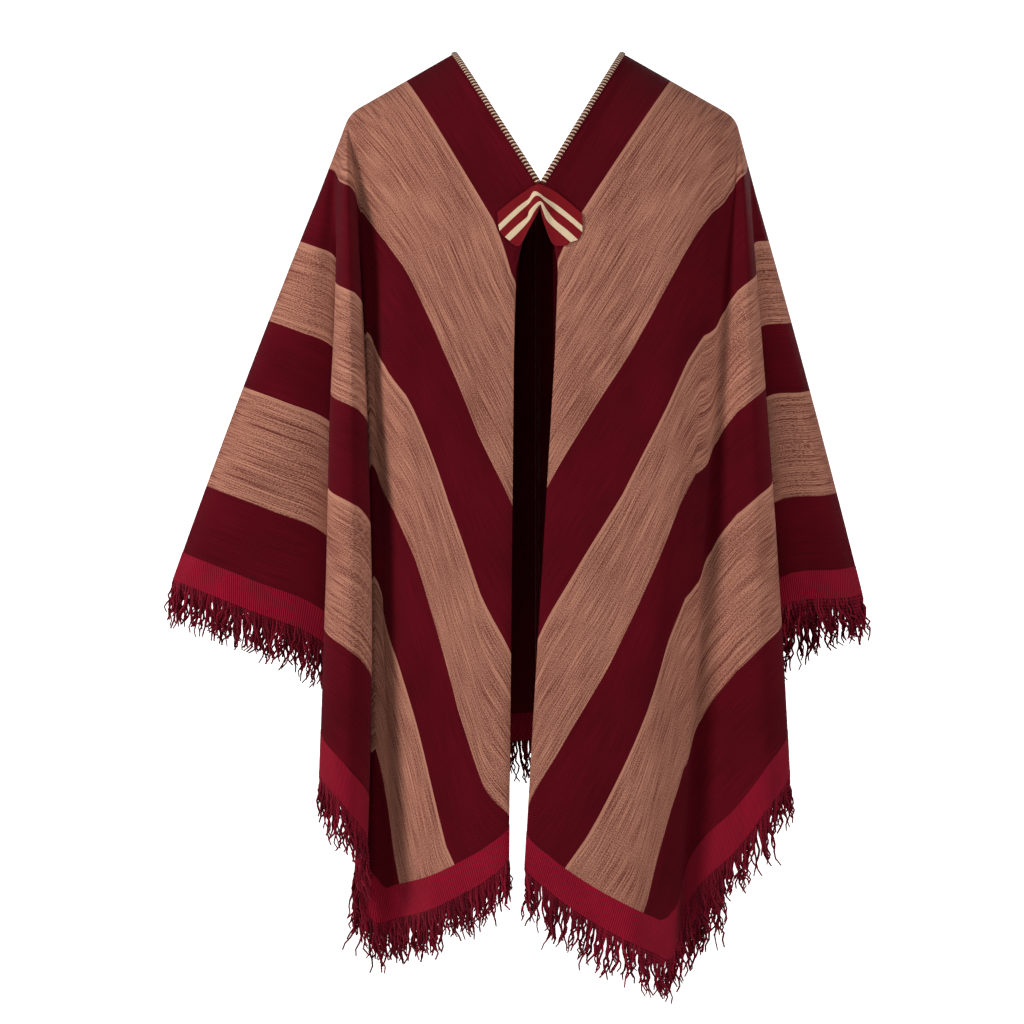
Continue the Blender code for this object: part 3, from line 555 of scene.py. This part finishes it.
def add_piece(name, points, faces, uvs, material, replaced=()):
    """A finished mesh piece that rides on the one body."""
    mesh = bpy.data.meshes.new(name)
    mesh.from_pydata([tuple(map(float, p)) for p in points], [], faces)
    mesh.materials.append(material)
    layer = mesh.uv_layers.new(name="flat")
    corners = np.empty(len(mesh.loops), dtype=np.int32)
    mesh.loops.foreach_get("vertex_index", corners)
    layer.data.foreach_set("uv", np.array(uvs, dtype=np.float32)[corners].ravel())
    mesh.shade_smooth()
    mesh.set_sharp_from_angle(angle=SHARP)
    piece = bpy.data.objects.new(name, mesh)
    bpy.context.scene.collection.objects.link(piece)
    if replaced:
        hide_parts(*replaced)
    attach(piece, BODY)
    return piece


def shell(grid, normals, flat, thickness, flip):
    """A closed thin shell on a grid: outer skin, inner skin and rim."""
    columns, rows = grid.shape[:2]
    count = columns * rows
    points = np.concatenate(((grid + normals * thickness / 2).reshape(-1, 3),
                             (grid - normals * thickness / 2).reshape(-1, 3)))
    uvs = np.concatenate((flat.reshape(-1, 2), flat.reshape(-1, 2)))
    faces = []
    for c in range(columns - 1):
        for r in range(rows - 1):
            a, b = c * rows + r, (c + 1) * rows + r
            faces.append((a, b, b + 1, a + 1))
            faces.append((a + count, a + 1 + count, b + 1 + count, b + count))
    ring = [c * rows for c in range(columns)]
    ring += [(columns - 1) * rows + r for r in range(1, rows)]
    ring += [c * rows + rows - 1 for c in range(columns - 2, -1, -1)]
    ring += list(range(rows - 2, 0, -1))
    for a, b in zip(ring, ring[1:] + ring[:1]):
        faces.append((b, a, a + count, b + count))
    if flip:
        faces = [tuple(reversed(face)) for face in faces]
    return points, faces, uvs


class Nodes:
    """Short helpers to wire one material's node tree."""

    def __init__(self, name, roughness, sheen):
        self.material = bpy.data.materials.new(name)
        self.material.use_nodes = True
        self.tree = self.material.node_tree
        self.shader = self.tree.nodes["Principled BSDF"]
        self.shader.inputs["Roughness"].default_value = roughness
        self.shader.inputs["Sheen Weight"].default_value = sheen
        self.shader.inputs["Sheen Roughness"].default_value = 0.5
        self.shader.inputs["Specular IOR Level"].default_value = 0.04

    def add(self, kind, **values):
        """A new node with some of its values set."""
        node = self.tree.nodes.new(kind)
        for key, value in values.items():
            setattr(node, key, value)
        return node

    def wire(self, source, target):
        """Link an output to an input."""
        self.tree.links.new(source, target)

    def math(self, operation, *values):
        """One step of arithmetic on values or outputs."""
        node = self.add("ShaderNodeMath", operation=operation)
        for index, value in enumerate(values):
            self.put(value, node.inputs[index])
        return node.outputs[0]

    def put(self, value, socket):
        """Link an output to a socket, or set a value there."""
        if hasattr(value, "is_linked"):
            self.wire(value, socket)
        else:
            socket.default_value = value

    def mix(self, share, first, second, blend="MIX"):
        """Two colours or outputs mixed."""
        node = self.add("ShaderNodeMix", data_type="RGBA", blend_type=blend)
        self.put(share, node.inputs[0])
        for value, socket in ((first, node.inputs[6]), (second, node.inputs[7])):
            if hasattr(value, "is_linked"):
                self.wire(value, socket)
            else:
                socket.default_value = (*value, 1.0)
        return node.outputs[2]

    def flat(self):
        """Distances across and along the flat cloth, in metres."""
        node = self.add("ShaderNodeUVMap", uv_map="flat")
        split = self.add("ShaderNodeSeparateXYZ")
        self.wire(node.outputs[0], split.inputs[0])
        return split.outputs[0], split.outputs[1]

    def grain(self, across, along, across_scale, along_scale, detail=2.0):
        """Noise that is drawn out along one way of the cloth."""
        join = self.add("ShaderNodeCombineXYZ")
        self.wire(self.math("MULTIPLY", across, across_scale), join.inputs[0])
        self.wire(self.math("MULTIPLY", along, along_scale), join.inputs[1])
        noise = self.add("ShaderNodeTexNoise")
        noise.inputs["Scale"].default_value = 1.0
        noise.inputs["Detail"].default_value = detail
        self.wire(join.outputs[0], noise.inputs["Vector"])
        return noise.outputs[0]

    def ribs(self, value, pitch):
        """A wave from 0 to 1 with its crests one pitch apart."""
        turn = self.math("MULTIPLY", value, 2 * math.pi / pitch)
        return self.math("MULTIPLY_ADD", self.math("SINE", turn), 0.5, 0.5)

    def sway(self, wave, reach, middle):
        """A value that a wave from 0 to 1 moves about its middle."""
        return self.math("MULTIPLY_ADD", self.math("SUBTRACT", wave, 0.5), reach, middle)

    def steps(self, factor, marks):
        """A value that changes at once at each mark, given as (place, value)."""
        ramp = self.add("ShaderNodeValToRGB")
        ramp.color_ramp.interpolation = "CONSTANT"
        elements = ramp.color_ramp.elements
        for index, (place, value) in enumerate(marks):
            mark = elements[index] if index < 2 else elements.new(place)
            mark.position, mark.color = place, (value, value, value, 1)
        self.wire(factor, ramp.inputs[0])
        return ramp.outputs[0]

    def shade(self, colour, value):
        """A colour made darker or lighter by a value."""
        grey = self.add("ShaderNodeCombineColor")
        for socket in grey.inputs[:3]:
            self.wire(value, socket)
        return self.mix(1.0, colour, grey.outputs[0], "MULTIPLY")

    def bump(self, height, distance, strength=1.0):
        """Relief on the surface."""
        node = self.add("ShaderNodeBump")
        node.inputs["Distance"].default_value = distance
        node.inputs["Strength"].default_value = strength
        self.wire(height, node.inputs["Height"])
        self.wire(node.outputs[0], self.shader.inputs["Normal"])

    def colour(self, source):
        """Use an output as the surface colour."""
        self.wire(source, self.shader.inputs["Base Color"])


def striped_wool(settings):
    """Brushed twill with maroon stripes and heathered tan ones."""
    n = Nodes("striped_wool", 0.95, 0.02)
    across, along = n.flat()
    is_tan = n.steps(across, [(0.0, 0)] + [(edge, 1 - index % 2)
                                           for index, edge in enumerate(STRIPES)])
    streaks = n.grain(across, along, 1050.0, 18.0, 1.0)
    yarns = n.grain(across, along, 700.0, 5.0, 0.0)
    bars = n.grain(across, along, 1000.0, 700.0, 1.0)
    clouds = n.grain(across, along, 14.0, 9.0)
    twill = n.ribs(n.math("ADD", across, along), settings.twill)
    heather_and_twill_shade = n.sway(streaks, 2.2, 0.50)
    heather_and_twill_shade = n.sway(bars, 2.4, heather_and_twill_shade)
    # twill lines in the tan: partly its pale and dark yarns, partly painted shade in the twill's
    # grooves
    heather_and_twill_shade = n.sway(twill, 0.28, heather_and_twill_shade)
    heather_and_twill_shade = n.sway(clouds, 0.5, heather_and_twill_shade)
    heather_and_twill_shade = n.math("MINIMUM", n.math("MAXIMUM", heather_and_twill_shade, 0.0), 1.0)
    pale = n.math("MULTIPLY", n.math("SUBTRACT", yarns, 0.68), 5.0)
    dark = n.math("MULTIPLY", n.math("SUBTRACT", 0.34, yarns), 4.0)
    heather_and_twill_shade = n.math("ADD", heather_and_twill_shade, n.math("MAXIMUM", pale, 0.0))
    heather_and_twill_shade = n.math("SUBTRACT", heather_and_twill_shade, n.math("MAXIMUM", dark, 0.0))
    tan = n.mix(heather_and_twill_shade, tuple(settings.tan_dark), tuple(settings.tan_light))
    lines = [(0.0, 0)]
    for index, edge in enumerate(STRIPES):
        start = edge - index % 2 * PALE_LINE
        lines += [(start, 1), (start + PALE_LINE, 0)]
    line = n.math("MULTIPLY", n.steps(across, lines), 0.6)
    tan = n.mix(line, tan, tuple(settings.tan_light))
    # twill lines in the maroon are painted shade in the twill's grooves; the streaks and clouds are
    # the yarn's own tone
    plain = n.sway(twill, 0.30, 0.9)
    plain = n.sway(streaks, 0.8, plain)
    plain = n.sway(clouds, 0.7, plain)
    maroon = n.shade(tuple(settings.maroon), plain)
    n.colour(n.mix(is_tan, maroon, tan))
    fuzz = n.grain(across, along, 2500.0, 2500.0)
    height = n.math("MULTIPLY_ADD", fuzz, 0.4, twill)
    n.bump(n.math("MULTIPLY_ADD", streaks, 0.6, height), 0.00022, 0.7)
    return n.material


def ribbed_wool(settings):
    """The red band with short ribs square to its edge, their grooves painted darker as shade."""
    n = Nodes("ribbed_wool", 0.85, 0.02)
    round_it, down = n.flat()
    rib = n.ribs(n.math("MULTIPLY_ADD", down, 0.25, round_it), settings.rib)
    clouds = n.grain(round_it, down, 25.0, 25.0)
    # painted shade: the band is darker in the grooves between its ribs; the clouds are the wool's
    # own tone
    value = n.sway(rib, 0.75, 0.92)
    value = n.sway(clouds, 0.5, value)
    n.colour(n.shade(tuple(settings.colour), value))
    n.bump(rib, 0.0006, 1.0)
    return n.material


def twisted_yarn(settings):
    """Two-ply yarn: its twist shows as slanted bands along each strand, painted darker as shade
    between the plies and raised by bump.
    """
    n = Nodes("twisted_yarn", 0.85, 0.03)
    turn, down = n.flat()
    twist = n.ribs(n.math("MULTIPLY_ADD", down, 260.0, n.math("MULTIPLY", turn, 2.0)), 1.0)
    tone = n.grain(turn, n.math("FLOOR", down), 0.0, 3.7, 0.0)
    # painted shade: darker bands where the plies dip; the tone of each strand is its own
    value = n.sway(twist, 0.7, 0.95)
    value = n.sway(tone, 2.4, value)
    value = n.math("MAXIMUM", value, 0.12)
    n.colour(n.shade(tuple(settings.colour), value))
    n.bump(twist, 0.0005, 0.8)
    return n.material


def striped_ribbon(settings):
    """Flat ribbon with two cream stripes along a red ground."""
    n = Nodes("striped_ribbon", 0.65, 0.1)
    width, along = n.flat()
    edges = [(0.0, 0)]
    for start, end in CREAM:
        edges += [(start, 1), (end, 0)]
    is_cream = n.steps(width, edges)
    weave = n.ribs(along, 0.0011)
    fine = n.grain(width, along, 60.0, 1500.0)
    # painted shade: the ribbon is darker in the grooves of its weave; the fine grain is its own tone
    value = n.sway(weave, 0.16, 0.95)
    value = n.sway(fine, 0.35, value)
    base = n.mix(is_cream, tuple(settings.red), tuple(settings.cream))
    n.colour(n.shade(base, value))
    n.bump(weave, 0.00015, 0.6)
    return n.material


def plain_yarn(name, colour):
    """Sewing yarn with a soft twist."""
    n = Nodes(name, 0.8, 0.2)
    turn, down = n.flat()
    twist = n.ribs(n.math("MULTIPLY_ADD", down, 500.0, turn), 1.0)
    # painted shade: the yarn is darker where its twist dips
    value = n.sway(twist, 0.35, 0.92)
    n.colour(n.shade(tuple(colour), value))
    n.bump(twist, 0.0003, 0.6)
    return n.material


SHEETS = {}


def sheet_of(name):
    """The grid of one half, made once."""
    if name not in SHEETS:
        SHEETS[name] = Sheet(HALVES[name])
    return SHEETS[name]


class MakePanels(bpy.types.Operator):
    """Weave the two striped panels"""
    bl_idname = "poncho.make_panels"
    bl_label = "Panels"

    def execute(self, context):
        settings = context.scene.poncho_cloth
        material = striped_wool(settings)
        for name, half in HALVES.items():
            sheet = sheet_of(name)
            rows = sheet.cloth_rows
            grid, normals = sheet.points[:, :rows], sheet.normals[:, :rows]
            points, faces, uvs = shell(grid, normals, sheet.flat[:, :rows],
                                       settings.thickness, half["side"] > 0)
            piece = add_piece(f"{name}_cloth", points, faces, uvs, material,
                              (f"{name}_panel",))
        return {"FINISHED"}


class MakeBorders(bpy.types.Operator):
    """Bind the hems and the side edges with the ribbed band"""
    bl_idname = "poncho.make_borders"
    bl_label = "Borders"

    def execute(self, context):
        settings = context.scene.poncho_border
        material = ribbed_wool(settings)
        for name, half in HALVES.items():
            sheet = sheet_of(name)
            rows = sheet.cloth_rows - 1
            grid, normals = sheet.points[:, rows:].copy(), sheet.normals[:, rows:]
            grid[:, 0] -= unit(grid[:, 1] - grid[:, 0]) * BORDER_LAP
            round_it = run_length(grid[:, -1])
            down = np.linspace(0, BORDER_WIDTH, grid.shape[1])
            flat = np.stack(np.broadcast_arrays(round_it[:, None], down[None, :]), axis=-1)
            points, faces, uvs = shell(grid, normals, flat, settings.thickness, half["side"] > 0)
            piece = add_piece(f"{name}_band", points, faces, uvs, material,
                              (f"{name}_border",))
        return {"FINISHED"}


def tube(line, radii, sides, start):
    """A tapered tube along a line, its vertices counted from start."""
    line = np.array(line)
    ways = unit(np.gradient(line, axis=0))
    side = unit(np.cross(ways, (0.3, 0.9, 0.2)))
    up = np.cross(ways, side)
    points, uvs, faces = [], [], []
    length = run_length(line)
    for k, centre in enumerate(line):
        for s in range(sides):
            turn = 2 * math.pi * s / sides
            points.append(centre + radii[k] * (math.cos(turn) * side[k] + math.sin(turn) * up[k]))
            uvs.append((s / sides, length[k]))
    for k in range(len(line) - 1):
        for s in range(sides):
            a, b = start + k * sides + s, start + k * sides + (s + 1) % sides
            faces.append((a, b, b + sides, a + sides))
    faces.append(tuple(start + s for s in reversed(range(sides))))
    faces.append(tuple(start + (len(line) - 1) * sides + s for s in range(sides)))
    return points, uvs, faces


class MakeFringes(bpy.types.Operator):
    """Twist the yarn ends along the borders"""
    bl_idname = "poncho.make_fringes"
    bl_label = "Fringes"

    def execute(self, context):
        settings = context.scene.poncho_fringe
        material = twisted_yarn(settings)
        for seed, name in enumerate(HALVES):
            chance = random.Random(seed)
            sheet = sheet_of(name)
            hem, normal = sheet.points[:, -1], sheet.normals[:, -1]
            down = unit(hem - sheet.points[:, -2])
            onward = np.gradient(hem, axis=0)
            distance = run_length(hem)
            count = int(distance[-1] / settings.spacing)
            points, uvs, faces = [], [], []
            clump_lean, clump_length = 0.0, 1.0
            for strand in range(count):
                if strand % CLUMP == 0:
                    clump_lean = chance.uniform(-1, 1)
                    clump_length = chance.uniform(0.86, 1.08)
                at = (strand + chance.uniform(0.2, 0.8)) * settings.spacing
                root, way, face, along = (read_line(at, distance, field)
                                          for field in (hem, down, normal, onward))
                way, face, along = unit(way), unit(face), unit(along)
                steep = abs(along[2])
                fall = unit(way + np.array((0, 0, -0.5 - 1.3 * steep)))
                side = unit(np.cross(fall, face))
                length = settings.length * clump_length * chance.uniform(0.72, 1.12)
                length *= 1 + 0.45 * max(0.0, steep - 0.5)
                lean = 0.16 * clump_lean + chance.uniform(-0.18, 0.18)
                out = chance.uniform(-0.10, 0.16)
                turns = chance.uniform(1.4, 3.2)
                curl = chance.uniform(0.0012, 0.0036)
                phase = chance.uniform(0, 2 * math.pi)
                line = []
                for part in np.linspace(0, 1, YARN_STEPS + 1):
                    angle = phase + 2 * math.pi * turns * part
                    swing = curl * part ** 0.8
                    line.append(root - way * YARN_TUCK + fall * length * part
                                + side * (lean * length * part ** 1.5 + swing * math.cos(angle))
                                + face * (out * length * part + swing * math.sin(angle)))
                thick = settings.radius * chance.uniform(0.8, 1.15)
                radii = thick * (1 - 0.45 * np.linspace(0, 1, YARN_STEPS + 1) ** 2)
                more, more_uvs, more_faces = tube(line, radii, YARN_SIDES, len(points))
                points += more
                uvs += [(u, v + strand) for u, v in more_uvs]
                faces += more_faces
            add_piece(f"{name}_yarns", points, faces, uvs, material,
                      (f"{name}_fringe",))
        return {"FINISHED"}


class MakeRibbon(bpy.types.Operator):
    """Fold the striped ribbon that joins the two fronts"""
    bl_idname = "poncho.make_ribbon"
    bl_label = "Ribbon tab"

    def execute(self, context):
        settings = context.scene.poncho_ribbon
        material = striped_ribbon(settings)
        trees = []
        for name in HALVES:
            cloth = context.scene.objects[f"{name}_cloth"]
            trees.append(BVHTree.FromPolygons([v.co for v in cloth.data.vertices],
                                              [p.vertices for p in cloth.data.polygons]))
        shares, rises, points = zip(*RIBBON)
        knots = np.array(points)
        last = knots.shape[1] - 1
        stations = np.linspace(0, last, last * RIBBON_CUTS + 1)
        fine_shares = np.linspace(0, 1, RIBBON_ROWS)
        along = np.array([np.stack([curve(row[:, i], stations) for i in range(2)], axis=1)
                          for row in knots])
        grid = np.empty((len(stations), len(fine_shares), 3))
        for c in range(len(stations)):
            for r, share in enumerate(fine_shares):
                x, z = (np.interp(share, shares, along[:, c, i]) for i in range(2))
                grid[c, r, 0], grid[c, r, 2] = x, z
                hits = [tree.ray_cast(Vector((x, -1, z)), Vector((0, 1, 0)), 1.0)[0]
                        for tree in trees]
                lie = [hit.y for hit in hits if hit is not None]
                grid[c, r, 1] = min(lie) if lie else np.nan
        rows_y = grid[:, :, 1]
        low = np.nanmin(rows_y)
        rows_y[np.isnan(rows_y)] = low
        rows_y[:] = np.minimum(rows_y, low + RIBBON_SINK)
        for _ in range(RIBBON_SOFTEN):
            rows_y[1:-1] = (rows_y[:-2] + rows_y[1:-1] + rows_y[2:]) / 3
        middle = np.exp(-((stations - last / 2) / GATHER_WIDTH) ** 2)
        puff = np.interp(fine_shares, shares, rises)
        rows_y -= settings.thickness / 2 + RIBBON_GAP + middle[:, None] * puff[None, :]
        down = np.gradient(grid, axis=1)
        round_it = np.gradient(grid, axis=0)
        normals = unit(np.cross(down, round_it))
        run = run_length(grid[:, RIBBON_ROWS // 2])
        flat = np.stack(np.broadcast_arrays(fine_shares[None, :], run[:, None]), axis=-1)
        facing = -1 if normals[..., 1].mean() > 0 else 1
        points, faces, uvs = shell(grid, normals * facing, flat, settings.thickness, facing < 0)
        piece = add_piece("ribbon_tab", points, faces, uvs, material, ("closure_tab",))
        return {"FINISHED"}


class MakeStitches(bpy.types.Operator):
    """Sew the overcast stitches on the neck edges and the centre-back seam"""
    bl_idname = "poncho.make_stitches"
    bl_label = "Stitches"

    def execute(self, context):
        settings = context.scene.poncho_stitches
        cream = plain_yarn("cream_yarn", context.scene.poncho_ribbon.cream)
        maroon = plain_yarn("maroon_yarn", context.scene.poncho_cloth.maroon)
        for name in HALVES:
            sheet = sheet_of(name)
            for colour, material, offset, thick in (("cream", cream, 0.0, 0.95),
                                                    ("maroon", maroon, 0.5, 1.15)):
                points, uvs, faces = [], [], []
                for column, inner in ((0, 1), (-1, -2)):
                    rows = [r for r in range(sheet.cloth_rows)
                            if sheet.points[column, r, 2] > STITCHES_END]
                    line = sheet.points[column, rows]
                    distance = run_length(line)
                    inward = unit(sheet.points[inner, rows] - line)
                    normal = sheet.normals[column, rows]
                    tangent = unit(np.gradient(line, axis=0))
                    count = int(distance[-1] / settings.pitch)
                    for stitch in range(count):
                        at = (stitch + 0.25 + offset) * distance[-1] / count
                        if at > distance[-1]:
                            continue
                        centre, way, up, run = (read_line(at, distance, field)
                                                for field in (line, inward, normal, tangent))
                        way, up, run = unit(way), unit(up), unit(run)
                        arc = []
                        for turn in np.linspace(0, math.pi, STITCH_STEPS + 1):
                            inside = settings.reach * (1 - math.sin(turn)) - STITCH_OUTSIDE
                            height = math.cos(turn) * (0.0010 + settings.radius * 0.8)
                            arc.append(centre + way * inside + up * height
                                       + run * STITCH_SLANT * math.cos(turn))
                        radii = np.full(STITCH_STEPS + 1, settings.radius * thick)
                        radii[[0, -1]] *= 0.6
                        more, more_uvs, more_faces = tube(arc, radii, STITCH_SIDES, len(points))
                        points += more
                        uvs += more_uvs
                        faces += more_faces
                add_piece(f"{name}_neck_stitches_{colour}", points, faces, uvs, material)
        sheet = sheet_of("left")
        rows = [r for r in range(sheet.cloth_rows) if sheet.points[-1, r, 2] < SEAM_START]
        line = sheet.points[-1, rows] + (-settings.seam, -settings.seam / 2, 0)
        radii = [settings.seam] * len(rows)
        points, uvs, faces = tube(line, radii, STITCH_SIDES, 0)
        add_piece("back_seam", points, faces, uvs, maroon)
        return {"FINISHED"}


class MakeStage(bpy.types.Operator):
    """Set the pale floor, the backdrop, the lights and the camera"""
    bl_idname = "poncho.make_stage"
    bl_label = "Stage"

    def execute(self, context):
        settings = context.scene.poncho_stage
        material = bpy.data.materials.new("backdrop_paper")
        material.use_nodes = True
        shader = material.node_tree.nodes["Principled BSDF"]
        shader.inputs["Base Color"].default_value = (*settings.floor, 1.0)
        shader.inputs["Roughness"].default_value = 0.9
        for name, centre, size, turn in (("floor", (0, -3, FLOOR_HEIGHT), 12, 0),
                                         ("backdrop", (0, 18, -0.5), 18, math.pi / 2)):
            bpy.ops.mesh.primitive_plane_add(size=size, location=centre, rotation=(turn, 0, 0))
            plane = context.object
            plane.name = name
            plane.data.materials.append(material)
        world = bpy.data.worlds.new("studio")
        context.scene.world = world
        world.use_nodes = True
        background = world.node_tree.nodes["Background"]
        background.inputs["Color"].default_value = (1, 1, 1, 1)
        background.inputs["Strength"].default_value = SKY
        for name, place, size, power, aim in LAMPS:
            light = bpy.data.lights.new(name, "AREA")
            light.shape, light.size, light.energy = "DISK", size, power
            lamp = bpy.data.objects.new(name, light)
            context.scene.collection.objects.link(lamp)
            lamp.location = place
            lamp.rotation_euler = (Vector(aim) - Vector(place)).to_track_quat("-Z", "Y").to_euler()
        camera = bpy.data.cameras.new("photo_camera")
        camera.sensor_width = SENSOR
        camera.lens = SENSOR * (FRONT_PLANE - EYE[1]) / PICTURE_WIDTH
        eye = bpy.data.objects.new("photo_camera", camera)
        context.scene.collection.objects.link(eye)
        eye.location = EYE
        eye.rotation_euler = (math.pi / 2, 0, 0)
        context.scene.camera = eye
        context.scene.view_settings.view_transform = "Standard"
        return {"FINISHED"}


class PonchoSidebar(bpy.types.Panel):
    """Lists the poncho's pieces and settings"""
    bl_idname = "VIEW3D_PT_poncho"
    bl_label = "Wool poncho"
    bl_space_type = "VIEW_3D"
    bl_region_type = "UI"
    bl_category = "Poncho"

    def draw(self, context):
        for operator in OPERATORS:
            self.layout.operator(operator.bl_idname)
        for name, group in SETTINGS.items():
            for setting in group.__annotations__:
                self.layout.prop(getattr(context.scene, name), setting)


OPERATORS = (MakePanels, MakeBorders, MakeFringes, MakeRibbon, MakeStitches, MakeStage)
CLASSES = (*SETTINGS.values(), *OPERATORS, PonchoSidebar)


def register():
    """Add the classes and the settings."""
    for cls in CLASSES:
        bpy.utils.register_class(cls)
    for name, group in SETTINGS.items():
        setattr(bpy.types.Scene, name, bpy.props.PointerProperty(type=group))


def unregister():
    """Take the settings and the classes away again."""
    for name in SETTINGS:
        delattr(bpy.types.Scene, name)
    for cls in reversed(CLASSES):
        bpy.utils.unregister_class(cls)


def main():
    """Build every piece and the stage."""
    register()
    bpy.ops.poncho.make_panels()
    bpy.ops.poncho.make_borders()
    bpy.ops.poncho.make_fringes()
    bpy.ops.poncho.make_ribbon()
    bpy.ops.poncho.make_stitches()
    bpy.ops.poncho.make_stage()


if __name__ == "__main__":
    main()
